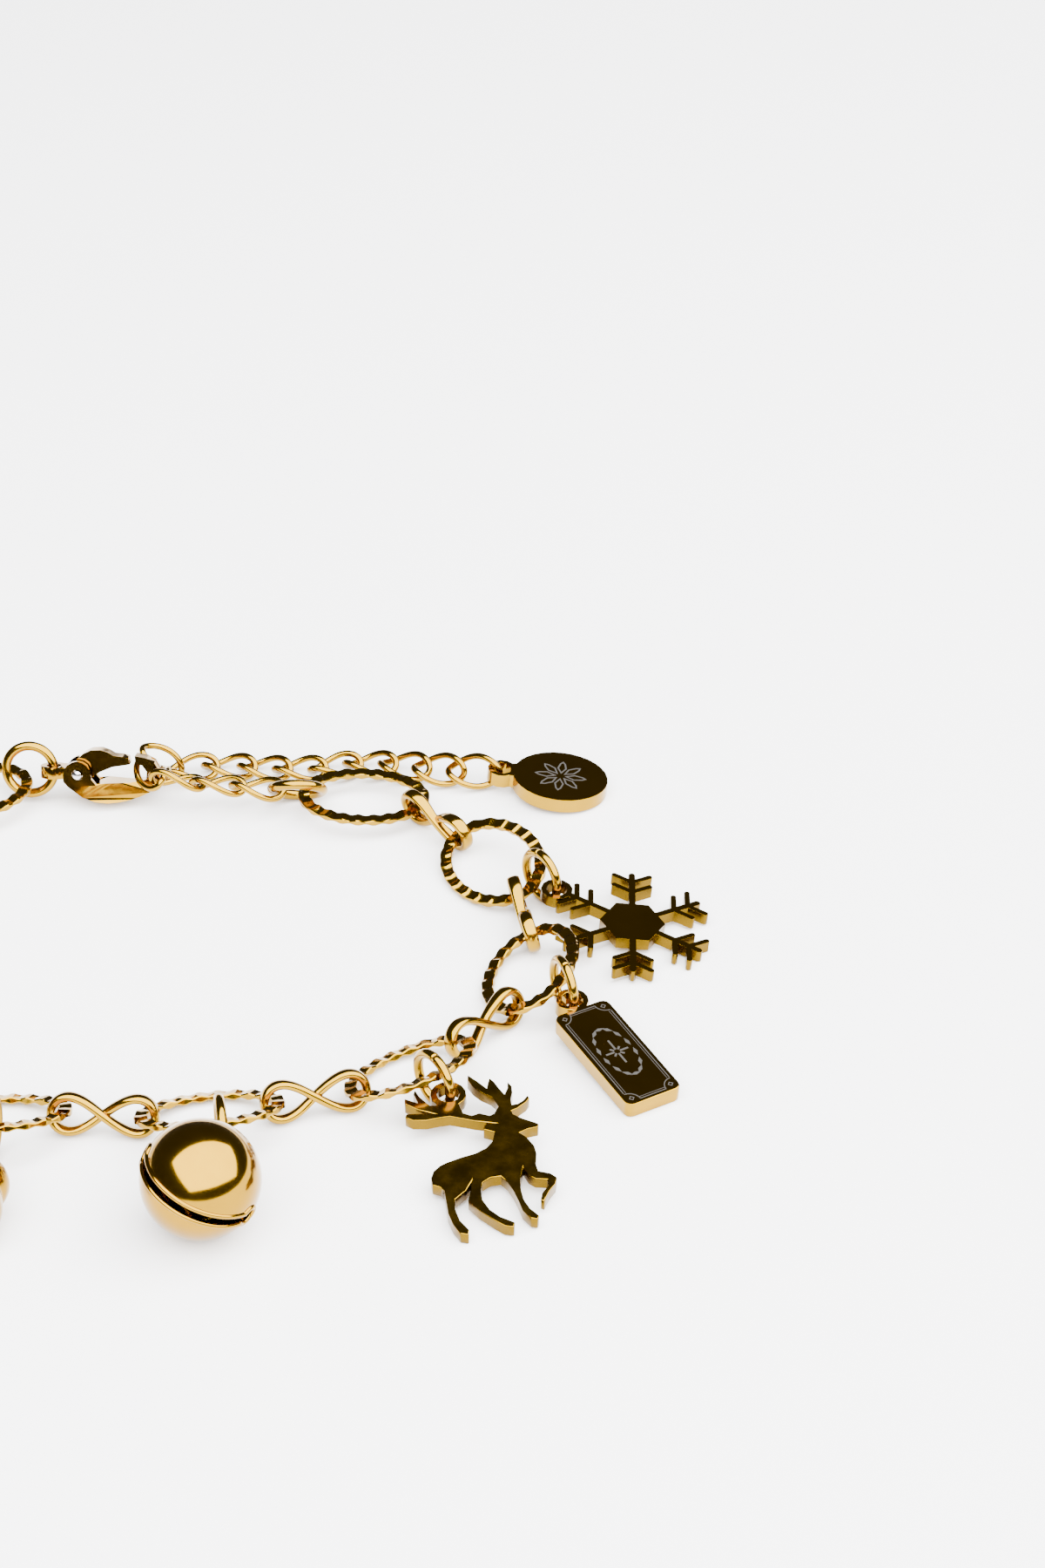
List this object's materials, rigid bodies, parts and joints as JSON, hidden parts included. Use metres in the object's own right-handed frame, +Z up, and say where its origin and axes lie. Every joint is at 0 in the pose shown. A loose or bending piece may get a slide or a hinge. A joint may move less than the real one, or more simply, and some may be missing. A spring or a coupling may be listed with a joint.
{
  "type": "charm bracelet",
  "caption": "Gold-coloured charm bracelet of fluted oval and figure-eight links with clasp, extender chain, snowflake, ticket, reindeer, bell and bauble charms.",
  "frame": {"origin": "middle of the bracelet's outline on the plane it lies on", "axes": "+Z up from the surface, +X to the right and -Y towards the viewer as pictured; the closed clasp lies at +Y"},
  "size_m": [0.0822, 0.0602, 0.0079],
  "materials": {
    "bauble": "polished gold plate",
    "bauble_ring": "polished gold plate",
    "bell_pellet": "polished steel",
    "bell_ring": "polished gold plate",
    "bell_shell": "polished gold plate",
    "clasp_body": "polished gold plate",
    "clasp_lever": "polished gold plate",
    "clasp_ring": "polished gold plate",
    "clasp_rivet": "polished steel",
    "curb_link_01": "polished gold plate",
    "curb_link_02": "polished gold plate",
    "curb_link_03": "polished gold plate",
    "curb_link_04": "polished gold plate",
    "curb_link_05": "polished gold plate",
    "curb_link_06": "polished gold plate",
    "curb_link_07": "polished gold plate",
    "curb_link_08": "polished gold plate",
    "curb_link_09": "polished gold plate",
    "curb_link_10": "polished gold plate",
    "curb_link_11": "polished gold plate",
    "curb_link_12": "polished gold plate",
    "curb_link_13": "polished gold plate",
    "curb_link_14": "polished gold plate",
    "eight_link_01": "polished gold plate",
    "eight_link_02": "polished gold plate",
    "eight_link_03": "polished gold plate",
    "eight_link_04": "polished gold plate",
    "eight_link_05": "polished gold plate",
    "eight_link_06": "polished gold plate",
    "eight_link_07": "polished gold plate",
    "eight_link_08": "polished gold plate",
    "eight_link_09": "polished gold plate",
    "eight_link_10": "polished gold plate",
    "end_tag": "polished gold plate",
    "extender_ring": "polished gold plate",
    "oval_link_01": "polished gold plate",
    "oval_link_02": "polished gold plate",
    "oval_link_03": "polished gold plate",
    "oval_link_04": "polished gold plate",
    "oval_link_05": "polished gold plate",
    "oval_link_06": "polished gold plate",
    "oval_link_07": "polished gold plate",
    "oval_link_08": "polished gold plate",
    "oval_link_09": "polished gold plate",
    "oval_link_10": "polished gold plate",
    "oval_link_11": "polished gold plate",
    "reindeer": "polished gold plate",
    "reindeer_ring": "polished gold plate",
    "snowflake": "polished gold plate",
    "snowflake_ring": "polished gold plate",
    "ticket_plate": "polished gold plate",
    "ticket_ring": "polished gold plate"
  },
  "bodies": {
    "bracelet": {"bauble": "bauble", "bauble_ring": "bauble_ring", "bell_pellet": "bell_pellet", "bell_ring": "bell_ring", "bell_shell": "bell_shell", "clasp_body": "clasp_body", "clasp_ring": "clasp_ring", "clasp_rivet": "clasp_rivet", "curb_link_01": "curb_link_01", "curb_link_02": "curb_link_02", "curb_link_03": "curb_link_03", "curb_link_04": "curb_link_04", "curb_link_05": "curb_link_05", "curb_link_06": "curb_link_06", "curb_link_07": "curb_link_07", "curb_link_08": "curb_link_08", "curb_link_09": "curb_link_09", "curb_link_10": "curb_link_10", "curb_link_11": "curb_link_11", "curb_link_12": "curb_link_12", "curb_link_13": "curb_link_13", "curb_link_14": "curb_link_14", "eight_link_01": "eight_link_01", "eight_link_02": "eight_link_02", "eight_link_03": "eight_link_03", "eight_link_04": "eight_link_04", "eight_link_05": "eight_link_05", "eight_link_06": "eight_link_06", "eight_link_07": "eight_link_07", "eight_link_08": "eight_link_08", "eight_link_09": "eight_link_09", "eight_link_10": "eight_link_10", "end_tag": "end_tag", "extender_ring": "extender_ring", "oval_link_01": "oval_link_01", "oval_link_02": "oval_link_02", "oval_link_03": "oval_link_03", "oval_link_04": "oval_link_04", "oval_link_05": "oval_link_05", "oval_link_06": "oval_link_06", "oval_link_07": "oval_link_07", "oval_link_08": "oval_link_08", "oval_link_09": "oval_link_09", "oval_link_10": "oval_link_10", "oval_link_11": "oval_link_11", "reindeer": "reindeer", "reindeer_ring": "reindeer_ring", "snowflake": "snowflake", "snowflake_ring": "snowflake_ring", "ticket_plate": "ticket_plate", "ticket_ring": "ticket_ring"},
    "lever": {"clasp_lever": "clasp_lever"}
  },
  "joints": [
    {"name": "clasp_hinge", "type": "hinge", "parent": "bracelet", "child": "lever", "pos_m": [-0.00787, 0.025, 0.00253], "axis": [-0.0531, -0.9496, 0.309], "range_deg": [-18, 0], "stiffness_Nm_per_rad": 0.002, "springref_deg": 2.86}
  ]
}
